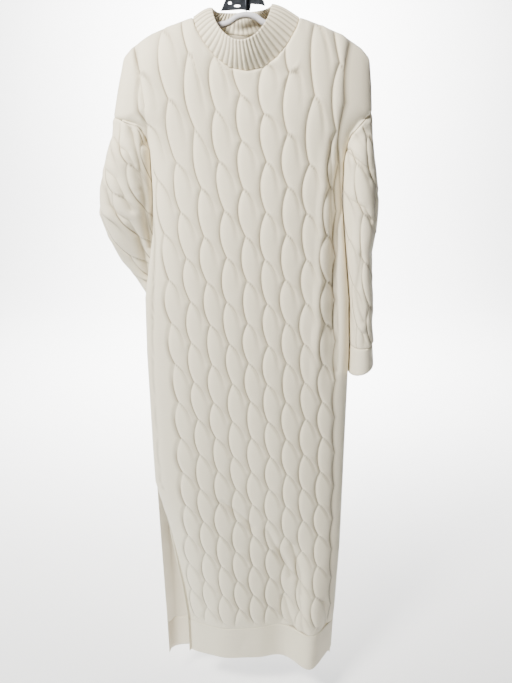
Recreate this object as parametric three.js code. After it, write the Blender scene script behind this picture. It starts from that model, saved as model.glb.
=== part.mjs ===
// Long cable-knit sweater dress with a ribbed mock neck, hung on a plain hanger.
// Millimetres. X is across the dress, -Y is its front, +Z is up.
// The origin is the inner top of the hanger's hook, where a rail holds it.
import * as THREE from "three";

// Driving dimensions
const WALL = 2.0;
const SEAM_GAP = 0.3;
const TOP_LEVEL = -140;
const SHOULDER_FADE_LEVEL = -300;
const BAND_TOP = -1378;
const BAND_HEIGHT = 100;
const BACK_DROP = 35;
const CABLE_REPEAT = 84;
const CABLE_BULGE = 10;
const CABLE_HEIGHT = 3.6;
const CABLE_REACH = 4;
const MARGIN_HEIGHT = 0.8;
const WIDEST_GROOVE = 0.965;
const CREST_PLACE = 0.45;
const FIRST_CROSSING = -224;
const ROW_STEP = CABLE_REPEAT / 4;
const DRAPE_DEPTH = 34;
const SECTION_POWER = 0.72;
const SECTION_WIDTH = 205;
const SECTION_STEPS = 240;
const ROUNDING_UNDER_SHOULDER = 24;
const ARMHOLE_TOP = -224;
const ARMHOLE_BOTTOM = ARMHOLE_TOP - 3 * ROW_STEP;
const ARMHOLE_GAP = 1.0;
const ARMHOLE_BLEND = 62;
const UNDERARM_TUCK = 4;
const SLEEVE_TOP = -236;
const SLEEVE_ROUNDNESS = 0.85;
const SLEEVE_COLUMNS = 20;
const SLEEVE_FLARE = -330;
const SLEEVE_RELIEF = 2.2;
const LEFT_WRIST = -650;
const LEFT_CUFF_END = -702;
const RIGHT_WRIST = -652;
const RIGHT_CUFF_END = -707;
const CUFF_GAP = 0.6;
const CUFF_RELIEF = 0.5;
const LEFT_LIFT_START = 110;
const LEFT_LIFT_SPREAD = 66;
const SHORT_LAST_ROW = 0.4;
const ARMHOLE_GAP_ACROSS = 0.6;
const NECK_HALF_WIDTH = 87;
const COLLAR_LIFT = 1.2;
const COLLAR_RIBS = 60;
const COLLAR_RIB_HEIGHT = 1.3;
const HOOK_INNER_RADIUS = 17;
const HOOK_WIRE_RADIUS = 2.4;
const SHOULDER_BAR_RADIUS = 5;
const YOKE_THICKNESS = 3;

// Panel edges, one row for each level down the side of the body
const BODY_SECTIONS = [
  { level: -140, left: 206, right: 206, depth: 30, opening: 0, leftLift: 0 },
  { level: -182, left: 219, right: 212, depth: 32, opening: 0, leftLift: -4 },
  { level: -224, left: 231, right: 216, depth: 33, opening: 0, leftLift: -8 },
  { level: -245, left: 210, right: 200, depth: 34, opening: 19, leftLift: 3 },
  { level: -266, left: 188, right: 183, depth: 34, opening: 17, leftLift: 13 },
  { level: -287, left: 177, right: 175, depth: 34, opening: 0, leftLift: 20 },
  { level: -308, left: 171, right: 171, depth: 34, opening: 0, leftLift: 20 },
  { level: -371, left: 171, right: 172, depth: 35, opening: 0, leftLift: 10 },
  { level: -434, left: 176, right: 179, depth: 35, opening: 0, leftLift: 0 },
  { level: -558, left: 199, right: 195, depth: 36, opening: 0, leftLift: 0 },
  { level: -674, left: 204, right: 203, depth: 36, opening: 0, leftLift: 0 },
  { level: -905, left: 207, right: 207, depth: 37, opening: 0, leftLift: 0 },
  { level: -1150, left: 208, right: 211, depth: 37, opening: 0, leftLift: 0 },
  { level: -1378, left: 208, right: 208, depth: 37, opening: 0, leftLift: 0 },
  { level: -1520, left: 209, right: 207, depth: 37, opening: 0, leftLift: 0 },
];

// The free front edge of the side slit
const SLIT_EDGE = [
  { level: -982, across: 207, lift: 0 },
  { level: -1092, across: 184, lift: 14 },
  { level: -1177, across: 172, lift: 20 },
  { level: -1267, across: 160, lift: 22 },
  { level: -1361, across: 152, lift: 22 },
  { level: -1520, across: 152, lift: 22 },
];

// Shoulder line from the neck point to the end of the dropped shoulder
const SHOULDER_LINE = [
  { across: 0, level: -66 },
  { across: 64, level: -76 },
  { across: 99, level: -85 },
  { across: 123, level: -93 },
  { across: 158, level: -106 },
  { across: 193, level: -127 },
  { across: 206, level: -140 },
  { across: 221, level: -189 },
  { across: 233, level: -237 },
];

const FRONT_NECKLINE = [
  { across: 0, level: -164 },
  { across: 28, level: -159 },
  { across: 50, level: -144 },
  { across: 68, level: -124 },
  { across: 82, level: -100 },
  { across: 88, level: -82 },
];

const BACK_NECKLINE = [
  { across: 0, level: -104 },
  { across: 40, level: -101 },
  { across: 70, level: -92 },
  { across: 88, level: -82 },
];

// Sleeve rings from below the armhole to the wrist
const LEFT_SLEEVE = [
  { x: -207, y: 0, z: -252, across: 30, depth: 24, rise: 0 },
  { x: -210, y: 1, z: -282, across: 36, depth: 29, rise: 0 },
  { x: -212, y: 2, z: -300, across: 38, depth: 31, rise: 0 },
  { x: -219.5, y: 4, z: -350, across: 45.5, depth: 32, rise: 0 },
  { x: -225, y: 10, z: -399, across: 49, depth: 29, rise: 0 },
  { x: -220, y: 24, z: -445, across: 43, depth: 22, rise: -4 },
  { x: -208, y: 39, z: -485, across: 40, depth: 17, rise: -6 },
  { x: -190, y: 52, z: -520, across: 38, depth: 15, rise: -6 },
  { x: -171, y: 60, z: -560, across: 37, depth: 15, rise: -4 },
  { x: -158, y: 63, z: -605, across: 36, depth: 15, rise: -2 },
  { x: -150, y: 65, z: -650, across: 35, depth: 15, rise: 0 },
  { x: -144, y: 66, z: -702, across: 36, depth: 15, rise: 0 },
];

const RIGHT_SLEEVE = [
  { x: 201, y: 0, z: -252, across: 20, depth: 26, rise: 0 },
  { x: 199.5, y: 3, z: -285, across: 23, depth: 38, rise: 0 },
  { x: 200, y: 5, z: -305, across: 26, depth: 42, rise: 0 },
  { x: 202.5, y: 8, z: -324, across: 27.5, depth: 46, rise: 0 },
  { x: 207.5, y: 12, z: -373, across: 31.5, depth: 52, rise: 0 },
  { x: 211, y: 14, z: -435, across: 28, depth: 55, rise: 0 },
  { x: 210, y: 14, z: -468, across: 23, depth: 56, rise: 0 },
  { x: 214.5, y: 14, z: -506, across: 22.5, depth: 56, rise: 0 },
  { x: 221, y: 14, z: -558, across: 22, depth: 56, rise: 0 },
  { x: 223, y: 13, z: -610, across: 21, depth: 55, rise: 0 },
  { x: 228, y: 11, z: -652, across: 22, depth: 53, rise: 3 },
  { x: 232, y: 10, z: -707, across: 24, depth: 50, rise: 11 },
];

const HANGER_ARM = [
  { across: 0, level: -78 },
  { across: 15, level: -81 },
  { across: 32, level: -90 },
  { across: 60, level: -94 },
  { across: 99, level: -97.5 },
  { across: 123, level: -106 },
  { across: 158, level: -121 },
  { across: 175, level: -133 },
];

// Reads a column of a table between its rows
function column(table, key, name, at) {
  const falling = table[0][key] > table[table.length - 1][key];
  const along = (row) => (falling ? -row[key] : row[key]);
  const place = falling ? -at : at;
  if (place <= along(table[0])) return table[0][name];
  for (let i = 1; i < table.length; i++) {
    const low = along(table[i - 1]);
    const high = along(table[i]);
    if (place <= high) {
      const share = (place - low) / (high - low);
      return table[i - 1][name] + (table[i][name] - table[i - 1][name]) * share;
    }
  }
  return table[table.length - 1][name];
}

function clamp(value, low, high) {
  return Math.min(high, Math.max(low, value));
}

function smooth(value) {
  const t = clamp(value, 0, 1);
  return t * t * (3 - 2 * t);
}

// Half of the flattened tube's section, even in arc length
const sectionPoints = [];
for (let i = 0; i <= SECTION_STEPS; i++) {
  const angle = ((i / SECTION_STEPS) * Math.PI) / 2;
  const x = Math.sin(angle) ** SECTION_POWER;
  const y = Math.cos(angle) ** SECTION_POWER;
  sectionPoints.push({ x, y, run: 0 });
  if (i > 0) {
    const last = sectionPoints[i - 1];
    const step = Math.hypot((x - last.x) * SECTION_WIDTH, (y - last.y) * DRAPE_DEPTH);
    sectionPoints[i].run = last.run + step;
  }
}
const HALF_GIRTH = sectionPoints[SECTION_STEPS].run;

function section(share) {
  const run = clamp(Math.abs(share), 0, 1) * HALF_GIRTH;
  const x = column(sectionPoints, "run", "x", run);
  const y = column(sectionPoints, "run", "y", run);
  return { x: Math.sign(share) * x, y };
}

function sideWidth(share, level, front) {
  if (share > 0) return column(BODY_SECTIONS, "level", "right", level);
  const seam = column(BODY_SECTIONS, "level", "left", level);
  if (!front || level > SLIT_EDGE[0].level) return seam;
  return column(SLIT_EDGE, "level", "across", level);
}

// Where the cable columns lie: the middle one, their spacing, and the last groove on the right
const CABLE_LATTICE = [
  { level: -140, centre: -12, pitch: 42, lastGroove: 172 },
  { level: -224, centre: -10, pitch: 41, lastGroove: 166 },
  { level: -350, centre: -5, pitch: 38, lastGroove: 159 },
  { level: -492, centre: -2, pitch: 36.7, lastGroove: 165 },
  { level: -890, centre: 7, pitch: 37, lastGroove: 184 },
  { level: -1378, centre: 11, pitch: 36.5, lastGroove: 196 },
];

// Long folds that deepen towards the hem, as a move forward of the front
const HEM_FOLDS = [
  { middle: 150, width: 40, forward: 46 },
  { middle: 70, width: 34, forward: -9 },
  { middle: -60, width: 40, forward: 7 },
];
const HEM_FOLDS_GROW = { level: -1080, length: 400 };
const ARM_FOLD = { start: 118, spread: 20, spacing: 9.5, depth: 6 };
const ARM_FOLD_GROWS = { level: -240, length: 120 };
const ARM_FOLD_FADES = { level: -620, length: 200 };
const DRAPE = { depth: 2.6, lean: 0.45, middle: -900, spacing: 46, level: -700, length: 250 };
const BACK_WAVE = { depth: 8, spacing: 46, phase: 0.6, level: -900, length: 500 };
const BACK_DRAPE = { depth: 3, lean: -0.3, spacing: 58 };

// How far a level lies into a stretch that starts at a level and runs down
function grown(z, stretch) {
  return smooth((stretch.level - z) / stretch.length);
}

// Folds die away at the side seams
function heldAtSeams(share) {
  return 1 - Math.abs(share) ** 8;
}

function frontFolds(x, z, share) {
  const bells = HEM_FOLDS.map((f) => f.forward * Math.exp(-(((x - f.middle) / f.width) ** 2)));
  const hem = grown(z, HEM_FOLDS_GROW) * bells.reduce((sum, bell) => sum + bell, 0);
  const chest = grown(z, ARM_FOLD_GROWS) * (1 - grown(z, ARM_FOLD_FADES));
  const fromArm = x - ARM_FOLD.start;
  const waves = Math.sin(fromArm / ARM_FOLD.spacing) * smooth(fromArm / ARM_FOLD.spread);
  const along = x + DRAPE.lean * (z - DRAPE.middle);
  const drape = DRAPE.depth * grown(z, DRAPE) * Math.sin(along / DRAPE.spacing);
  return (hem + ARM_FOLD.depth * chest * waves + drape) * heldAtSeams(share);
}

function backFolds(x, z, share) {
  const wave = BACK_WAVE.depth * grown(z, BACK_WAVE);
  const low = wave * Math.sin(x / BACK_WAVE.spacing + BACK_WAVE.phase);
  const drape = BACK_DRAPE.depth * Math.sin((x + BACK_DRAPE.lean * z) / BACK_DRAPE.spacing);
  return (low + drape) * heldAtSeams(share);
}

// The left side is lifted from a place across outwards
function spreadLeft(x) {
  return smooth((-x - LEFT_LIFT_START) / LEFT_LIFT_SPREAD);
}

// A point of the body's plain form: share runs -1 to 1 across, level is the row
function bodyForm(share, level, front) {
  const across = section(share);
  const width = sideWidth(share, level, front);
  const x = width * across.x;
  const fade = clamp((level - SHOULDER_FADE_LEVEL) / (TOP_LEVEL - SHOULDER_FADE_LEVEL), 0, 1);
  const away = Math.abs(x);
  const neckline = front ? FRONT_NECKLINE : BACK_NECKLINE;
  const neckEnd = neckline[neckline.length - 1].across;
  const edge = away < neckEnd ? neckline : SHOULDER_LINE;
  const topLevel = column(edge, "across", "level", Math.min(away, BODY_SECTIONS[0].left));
  const leftLift = column(BODY_SECTIONS, "level", "leftLift", level) * spreadLeft(x);
  const z = level + (topLevel - TOP_LEVEL) * fade + leftLift;
  const below = column(SHOULDER_LINE, "across", "level", away) - z;
  const filled = 1 - Math.exp(-Math.max(below, 0) / ROUNDING_UNDER_SHOULDER);
  const depth = column(BODY_SECTIONS, "level", "depth", level);
  const opening = column(BODY_SECTIONS, "level", "opening", level) * Math.abs(share) ** 3;
  const slit = front && share < 0 ? slitLift(level) * Math.abs(share) ** 4 : 0;
  const folds = front ? frontFolds(x, z, share) : backFolds(x, z, share);
  const rest = Math.max(depth * across.y * filled, opening, slit) + folds;
  const y = SEAM_GAP + WALL * 0.5 + Math.max(rest, 0);
  return new THREE.Vector3(x, front ? -y : y, z);
}

function slitLift(level) {
  if (level > SLIT_EDGE[0].level) return 0;
  return column(SLIT_EDGE, "level", "lift", level);
}

// The outward direction of a form at two parameters
function outward(form, u, v, du, dv, turn) {
  const across = form(u + du, v).sub(form(u - du, v));
  const down = form(u, v + dv).sub(form(u, v - dv));
  return across.cross(down).normalize().multiplyScalar(turn);
}

// The share across at which the body's form reaches x
function shareAt(x, level, front) {
  const width = sideWidth(Math.sign(x) || 1, level, front);
  const run = column(sectionPoints, "x", "run", Math.min(Math.abs(x) / width, WIDEST_GROOVE));
  return (Math.sign(x) * run) / HALF_GIRTH;
}

// A cable groove: a chain of arcs that bulge left between crossings, each column half a repeat on
function grooveX(index, level) {
  const read = (name) => column(CABLE_LATTICE, "level", name, level);
  const start = FIRST_CROSSING - (index % 2 === 0 ? CABLE_REPEAT / 2 : 0);
  const bulge = CABLE_BULGE * Math.abs(Math.sin((Math.PI * (start - level)) / CABLE_REPEAT));
  if (index > CABLE_REACH) return read("lastGroove") - bulge * 0.5;
  return read("centre") + index * read("pitch") - bulge;
}

function cableColumns(level, front) {
  const grooves = [];
  for (let k = -CABLE_REACH; k <= CABLE_REACH + 1; k++) grooves.push(grooveX(k, level));
  const shares = grooves.map((x) => shareAt(x, level, front));
  const columns = [{ share: -1, height: 0 }];
  columns.push({ share: (shares[0] - 1) / 2, height: MARGIN_HEIGHT });
  shares.forEach((share, i) => {
    columns.push({ share, height: 0 });
    if (i + 1 === shares.length) return;
    const swell = (grooves[i + 1] - grooves[i]) / column(CABLE_LATTICE, "level", "pitch", level);
    const height = CABLE_HEIGHT * clamp(swell, 0.25, 1.15);
    columns.push({ share: share + (shares[i + 1] - share) * CREST_PLACE, height });
  });
  columns.push({ share: (lastOf(shares) + 1) / 2, height: MARGIN_HEIGHT });
  columns.push({ share: 1, height: 0 });
  return columns;
}

// Joins grids of points into one closed wall
class Wall {
  constructor() {
    this.points = [];
    this.faces = [];
  }

  // Each square is split along its shorter diagonal, and a tube's rows end where they began
  grid(rows, flip, closed) {
    const ids = rows.map((row) => {
      const line = row.map((p) => this.points.push(p) - 1);
      return closed ? [...line, line[0]] : line;
    });
    for (let r = 0; r + 1 < ids.length; r++) {
      for (let c = 0; c + 1 < ids[r].length; c++) {
        this.square(ids[r][c], ids[r][c + 1], ids[r + 1][c], ids[r + 1][c + 1], flip);
      }
    }
    return ids;
  }

  square(a, b, d, e, flip) {
    const across = this.points[a].distanceTo(this.points[e]);
    if (across < this.points[b].distanceTo(this.points[d])) {
      this.face(a, d, e, flip);
      this.face(a, e, b, flip);
      return;
    }
    this.face(a, d, b, flip);
    this.face(b, d, e, flip);
  }

  face(a, b, c, flip) {
    this.faces.push(flip ? [a, c, b] : [a, b, c]);
  }

  // Bridges an edge line of one grid to that of the other, however many points each has
  bridge(outer, inner, flip) {
    let i = 0;
    let j = 0;
    while (i < outer.length - 1 || j < inner.length - 1) {
      const nextOuter = (i + 1) / (outer.length - 1);
      const nextInner = (j + 1) / (inner.length - 1);
      if (j >= inner.length - 1 || (i < outer.length - 1 && nextOuter <= nextInner)) {
        this.face(outer[i], outer[i + 1], inner[j], flip);
        i++;
      } else {
        this.face(outer[i], inner[j + 1], inner[j], flip);
        j++;
      }
    }
  }

  geometry() {
    const geometry = new THREE.BufferGeometry();
    const flat = this.points.flatMap((p) => [p.x, p.y, p.z]);
    geometry.setAttribute("position", new THREE.Float32BufferAttribute(flat, 3));
    geometry.setIndex(this.faces.flat());
    return geometry;
  }
}

function lastOf(list) {
  return list[list.length - 1];
}

function edgeColumn(ids, index) {
  return ids.map((row) => row.at(index));
}

// Outer and inner grids joined round their free edges: an open sheet has four, a tube two
function cloth(outerRows, innerRows, flip, closed) {
  const wall = new Wall();
  const outer = wall.grid(outerRows, flip, closed);
  const inner = wall.grid(innerRows, !flip, closed);
  wall.bridge(outer[0], inner[0], flip);
  wall.bridge(lastOf(outer), lastOf(inner), !flip);
  if (!closed) {
    wall.bridge(edgeColumn(outer, 0), edgeColumn(inner, 0), !flip);
    wall.bridge(edgeColumn(outer, -1), edgeColumn(inner, -1), flip);
  }
  return wall.geometry();
}

// Levels a whole step apart from the top, and the bottom itself
function levelsBetween(top, bottom, step) {
  const count = Math.ceil((top - bottom) / step - SHORT_LAST_ROW);
  const levels = Array.from({ length: count }, (_, i) => top - i * step);
  return [...levels, bottom];
}

// Every second level, for a plain inner face
function everySecond(levels) {
  return levels.filter((_, row) => row % 2 === 0 || row === levels.length - 1);
}

// A body point moved out from the plain form, with its direction read just inside the edges
function offBody(share, level, front, distance) {
  const form = (s, l) => bodyForm(s, l, front);
  const normal = outward(form, clamp(share, -0.992, 0.992), level, 0.006, 2, front ? 1 : -1);
  return form(share, level).addScaledVector(normal, distance);
}

function panelGeometry(front, bottom) {
  const levels = levelsBetween(TOP_LEVEL, bottom, ROW_STEP);
  const outerRows = levels.map((level) => {
    const relief = level === TOP_LEVEL || level === bottom ? 0 : 1;
    return cableColumns(level, front).map(({ share, height }) =>
      offBody(share, level, front, WALL / 2 + height * relief),
    );
  });
  const innerRows = everySecond(levels).map((level) =>
    cableColumns(level, front).map(({ share }) => offBody(share, level, front, -WALL / 2)),
  );
  return cloth(outerRows, innerRows, !front, false);
}

const BAND_PUFF = 0.4;
const BAND_ROW_STEP = 33;
const BAND_COLUMNS = 24;

function bandGeometry(front, top) {
  const levels = levelsBetween(top - SEAM_GAP, top - BAND_HEIGHT, BAND_ROW_STEP);
  const shares = Array.from({ length: BAND_COLUMNS + 1 }, (_, i) => (2 * i) / BAND_COLUMNS - 1);
  const rows = (distance) =>
    levels.map((level) => shares.map((share) => offBody(share, level, front, distance)));
  return cloth(rows(WALL / 2 + BAND_PUFF), rows(-WALL / 2), !front, false);
}

// The armhole's edge on the body, in the straight stretches between the panel's own rows
function armholeEdge(side) {
  const levels = [0, 1, 2, 3].map((row) => ARMHOLE_TOP - row * ROW_STEP);
  return levels.map((level) => {
    const point = bodyForm(side, level, true);
    return { level, x: point.x, y: -point.y, z: point.z };
  });
}

const ARMHOLES = { left: armholeEdge(-1), right: armholeEdge(1) };

function armholePoint(side, turn) {
  const edge = side < 0 ? ARMHOLES.left : ARMHOLES.right;
  const share = (1 - Math.cos(turn)) / 2;
  const level = ARMHOLE_TOP + (ARMHOLE_BOTTOM - ARMHOLE_TOP) * share;
  const read = (name) => column(edge, "level", name, level);
  const faces = Math.abs(Math.sin(turn)) < 1e-9 ? 0 : -Math.sign(Math.sin(turn));
  const x = read("x") + side * ARMHOLE_GAP * ARMHOLE_GAP_ACROSS;
  return new THREE.Vector3(x, read("y") * faces, read("z") - ARMHOLE_GAP);
}

// A sleeve point: turn runs round from its outer fold, z is the ring's level
function sleeveForm(table, turn, z) {
  const read = (name) => column(table, "z", name, z);
  const side = Math.sign(table[0].x);
  const away = Math.cos(turn);
  const round = Math.sign(Math.sin(turn)) * Math.abs(Math.sin(turn)) ** SLEEVE_ROUNDNESS;
  const ring = new THREE.Vector3(
    read("x") + side * read("across") * away,
    read("y") - read("depth") * round,
    z + read("rise") * away,
  );
  const down = smooth((SLEEVE_TOP - z) / ARMHOLE_BLEND);
  if (down >= 1) return ring;
  const start = armholePoint(side, turn);
  const drop = SLEEVE_TOP - z;
  const underarm = (1 - away) / 2;
  start.x -= side * UNDERARM_TUCK * underarm ** 2 * smooth(drop / ROW_STEP);
  start.z -= drop;
  return start.lerp(ring, down);
}

function tubeRows(form, levels, count, distance, handed) {
  return levels.map((z) =>
    Array.from({ length: count }, (_, i) => {
      const turn = (2 * Math.PI * i) / count;
      const normal = outward(form, turn, z, 0.05, 3, handed);
      return form(turn, z).addScaledVector(normal, distance(i, z));
    }),
  );
}

// Ridges run down a sleeve and swell in turn, and lie flat where the arm meets the body
function sleeveRidge(i, z) {
  const swing = (2 * Math.PI * z) / CABLE_REPEAT + (i % 4 < 2 ? 0 : Math.PI);
  const ridge = i % 2 === 1 ? 1 : 0.15 + 0.35 * Math.sin(swing);
  const inward = -Math.cos((2 * Math.PI * i) / SLEEVE_COLUMNS);
  return ridge * (1 - smooth((inward - 0.5) / 0.3));
}

function sleeveGeometry(table, top, bottom, relief) {
  const form = (turn, z) => sleeveForm(table, turn, z);
  const side = Math.sign(table[0].x);
  const levels = levelsBetween(top, bottom, ROW_STEP);
  const raised = (i, z) => {
    const atEnd = z === top || z === bottom;
    return WALL / 2 + (atEnd ? 0 : relief * sleeveRidge(i, z));
  };
  const outer = tubeRows(form, levels, SLEEVE_COLUMNS, raised, -side);
  const inner = tubeRows(form, everySecond(levels), SLEEVE_COLUMNS / 2, () => -WALL / 2, -side);
  return cloth(outer, inner, side > 0, true);
}

// The straight stretches of the body's top edge between its own columns
function topEdge(front) {
  return cableColumns(TOP_LEVEL, front).map(({ share }) => bodyForm(share, TOP_LEVEL, front));
}

const FRONT_EDGE = topEdge(true);
const BACK_EDGE = topEdge(false);

// A point just above the body's neckline at a given distance across
function necklinePoint(x, front) {
  const edge = front ? FRONT_EDGE : BACK_EDGE;
  const y = column(edge, "x", "y", x);
  const z = column(edge, "x", "z", x);
  return new THREE.Vector3(x, y, z + COLLAR_LIFT);
}

// The collar's mouth: a ring that dips and leans forward in front
const MOUTH = {
  middle: -7,
  halfWidth: 48,
  front: 54,
  back: 44,
  level: -67,
  frontDrop: 56,
  backRise: 2,
  rightRise: 3,
};
const COLLAR_BELLY = 4;
const COLLAR_BELLY_FORWARD = 0.8;

// The mock neck: base ring on the neckline, top ring on the mouth
function collarForm(turn, share) {
  const ahead = Math.cos(turn);
  const across = Math.sin(turn);
  const front = Math.max(ahead, 0);
  const back = Math.max(-ahead, 0);
  const base = necklinePoint(NECK_HALF_WIDTH * across, ahead >= 0);
  const top = new THREE.Vector3(
    MOUTH.middle + MOUTH.halfWidth * across,
    MOUTH.back * back ** 0.9 - MOUTH.front * front ** 0.9,
    MOUTH.level - MOUTH.frontDrop * front ** 1.3 + MOUTH.backRise * back + MOUTH.rightRise * across,
  );
  const point = base.lerp(top, share);
  const belly = Math.sin(Math.PI * share) * COLLAR_BELLY;
  point.x -= belly * across;
  point.y -= belly * COLLAR_BELLY_FORWARD * front;
  point.z += 2 * belly * (Math.abs(across) - 0.4);
  return point;
}

const COLLAR_SHARES = [0, 0.33, 0.66, 1];

function collarGeometry() {
  const rows = (count, distance) =>
    COLLAR_SHARES.map((share) =>
      Array.from({ length: count }, (_, i) => {
        const turn = (2 * Math.PI * i) / count;
        const normal = outward(collarForm, turn, clamp(share, 0.03, 0.97), 0.04, 0.03, -1);
        return collarForm(turn, share).addScaledVector(normal, distance(i));
      }),
    );
  const rib = (i) => WALL / 2 + (i % 2 === 1 ? COLLAR_RIB_HEIGHT : 0);
  return cloth(rows(2 * COLLAR_RIBS, rib), rows(COLLAR_RIBS, () => -WALL / 2), false, true);
}

// A round bar along a list of points
function barGeometry(points, radius, sides) {
  const curve = new THREE.CatmullRomCurve3(points);
  const circle = new THREE.Shape();
  circle.absarc(0, 0, radius, 0, 2 * Math.PI, false);
  return new THREE.ExtrudeGeometry(circle, {
    steps: points.length * 3,
    curveSegments: sides / 2,
    extrudePath: curve,
  });
}

function hangerArms() {
  const right = HANGER_ARM.map((p) => new THREE.Vector3(p.across, 0, p.level));
  const left = right.slice(1).reverse().map((p) => new THREE.Vector3(-p.x, 0, p.z));
  return barGeometry([...left, ...right], SHOULDER_BAR_RADIUS, 8);
}

function hookGeometry() {
  const centre = HOOK_INNER_RADIUS + HOOK_WIRE_RADIUS;
  const points = [new THREE.Vector3(0, 0, -72.7), new THREE.Vector3(0, 0, -52)];
  points.push(new THREE.Vector3(2, 0, -42));
  for (let degrees = -30; degrees <= 180; degrees += 30) {
    const angle = (degrees * Math.PI) / 180;
    const x = centre * Math.cos(angle);
    const z = -HOOK_INNER_RADIUS + centre * Math.sin(angle);
    points.push(new THREE.Vector3(x, 0, z));
  }
  return barGeometry(points, HOOK_WIRE_RADIUS, 8);
}

// A round-ended opening as a ring of straight stretches
function slotPath(x, z, halfLength, halfHeight) {
  const sides = 10;
  const points = Array.from({ length: sides }, (_, i) => {
    const angle = (2 * Math.PI * i) / sides;
    return new THREE.Vector2(x + halfLength * Math.cos(angle), z + halfHeight * Math.sin(angle));
  });
  return new THREE.Path(points);
}

// The plate behind the stem, with two slots in its left wing
function yokeGeometry() {
  const outline = new THREE.Shape();
  outline.moveTo(-42, -71);
  outline.lineTo(-34, -55);
  outline.lineTo(-8, -40);
  outline.lineTo(8, -40);
  outline.lineTo(29, -57);
  outline.lineTo(31, -64);
  outline.lineTo(24, -62);
  outline.lineTo(8, -61);
  outline.lineTo(6, -71);
  outline.lineTo(-8, -69);
  outline.holes.push(slotPath(-27, -60, 3, 2.5), slotPath(-15, -64, 5.5, 2));
  const plate = new THREE.ExtrudeGeometry(outline, {
    depth: YOKE_THICKNESS,
    bevelEnabled: false,
  });
  plate.rotateX(Math.PI / 2);
  plate.translate(0, HOOK_WIRE_RADIUS + SEAM_GAP + YOKE_THICKNESS, 0);
  return plate;
}

const YARN = { color: 0xe4dfd0, roughness: 0.95, metalness: 0 };
const CLEAR_PLASTIC = { color: 0xc9c8cf, roughness: 0.3, metalness: 0 };
const DARK_STEEL = { color: 0x33363c, roughness: 0.4, metalness: 0.8 };

const group = new THREE.Group();

function add(name, geometry, finish) {
  const mesh = new THREE.Mesh(geometry, new THREE.MeshStandardMaterial(finish));
  mesh.name = name;
  group.add(mesh);
}

add("front_panel", panelGeometry(true, BAND_TOP), YARN);
add("back_panel", panelGeometry(false, BAND_TOP - BACK_DROP), YARN);
add("front_hem_band", bandGeometry(true, BAND_TOP), YARN);
add("back_hem_band", bandGeometry(false, BAND_TOP - BACK_DROP), YARN);
add("collar", collarGeometry(), YARN);
const LEFT_CUFF_TOP = LEFT_WRIST - CUFF_GAP;
const RIGHT_CUFF_TOP = RIGHT_WRIST - CUFF_GAP;
const RIGHT_SLEEVE_TOP = SLEEVE_FLARE - SEAM_GAP;

function addSleeve(name, table, top, bottom) {
  add(name, sleeveGeometry(table, top, bottom, SLEEVE_RELIEF), YARN);
}

function addCuff(name, table, top, bottom) {
  add(name, sleeveGeometry(table, top, bottom, CUFF_RELIEF), YARN);
}

addSleeve("left_sleeve", LEFT_SLEEVE, SLEEVE_TOP, LEFT_WRIST);
addCuff("left_cuff", LEFT_SLEEVE, LEFT_CUFF_TOP, LEFT_CUFF_END);
// The right sleeve flares under its top, so the top is a solid of its own
addSleeve("right_sleeve_top", RIGHT_SLEEVE, SLEEVE_TOP, SLEEVE_FLARE);
addSleeve("right_sleeve", RIGHT_SLEEVE, RIGHT_SLEEVE_TOP, RIGHT_WRIST);
addCuff("right_cuff", RIGHT_SLEEVE, RIGHT_CUFF_TOP, RIGHT_CUFF_END);
add("hanger_arms", hangerArms(), CLEAR_PLASTIC);
add("hanger_hook", hookGeometry(), DARK_STEEL);
add("hanger_yoke", yokeGeometry(), DARK_STEEL);

export default group;
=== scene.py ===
import math

import bpy
import numpy as np
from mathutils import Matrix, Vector


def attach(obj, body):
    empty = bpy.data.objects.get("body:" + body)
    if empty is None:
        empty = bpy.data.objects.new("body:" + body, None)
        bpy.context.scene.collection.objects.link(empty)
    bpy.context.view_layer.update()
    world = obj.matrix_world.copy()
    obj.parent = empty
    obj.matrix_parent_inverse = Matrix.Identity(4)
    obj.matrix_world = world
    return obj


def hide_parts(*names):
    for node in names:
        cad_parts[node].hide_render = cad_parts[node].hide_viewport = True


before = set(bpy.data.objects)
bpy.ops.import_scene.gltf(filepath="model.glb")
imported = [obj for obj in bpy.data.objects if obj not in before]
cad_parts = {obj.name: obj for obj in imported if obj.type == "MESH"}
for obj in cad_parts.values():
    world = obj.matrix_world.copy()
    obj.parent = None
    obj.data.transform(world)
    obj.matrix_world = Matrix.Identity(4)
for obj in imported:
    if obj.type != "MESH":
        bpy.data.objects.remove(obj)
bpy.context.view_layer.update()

bl_info = {
    "name": "Cable-knit sweater dress",
    "version": (1, 0, 0),
    "blender": (4, 5, 0),
    "location": "View3D > Sidebar > Dress",
    "description": "Builds a long cable-knit sweater dress on a hanger, piece by piece",
    "category": "Add Mesh",
}

# All sizes below are in millimetres and become metres when a mesh is made
METRE = 1000.0
SEAM_GAP = 0.3
TOP_LEVEL = -140.0
SHOULDER_FADE_LEVEL = -300.0
BAND_TOP = -1378.0
BAND_HEIGHT = 100.0
BACK_DROP = 35.0
SECTION_POWER = 0.72
SECTION_WIDTH = 205.0
SECTION_DEPTH = 34.0
ROUNDING_UNDER_SHOULDER = 24
SHOULDER_END = 206
LEFT_LIFT_START = 110
LEFT_LIFT_SPREAD = 66
CABLE_REPEAT = 84.0
CABLE_BULGE = 10.0
CABLE_REACH = 4
FIRST_CROSSING = -224.0
ARMHOLE_TOP = -224.0
ARMHOLE_BOTTOM = -287.0
ARMHOLE_GAP = 0.8
SLEEVE_TOP = -236.0
UNDERARM_TUCK = 4.0
ARMHOLE_GAP_ACROSS = 0.6
SLEEVE_ROUNDNESS = 0.85
LEFT_WRIST = -650.0
RIGHT_WRIST = -652.0
LEFT_CUFF_END = -702.0
RIGHT_CUFF_END = -707.0
LEFT_CUFF_TOP = -650.6
RIGHT_CUFF_TOP = -652.6
ARMHOLE_BLEND = 62.0
COLLAR_RIBS = 60
NECK_HALF_WIDTH = 87.0
COLLAR_LIFT = 0.2
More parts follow.
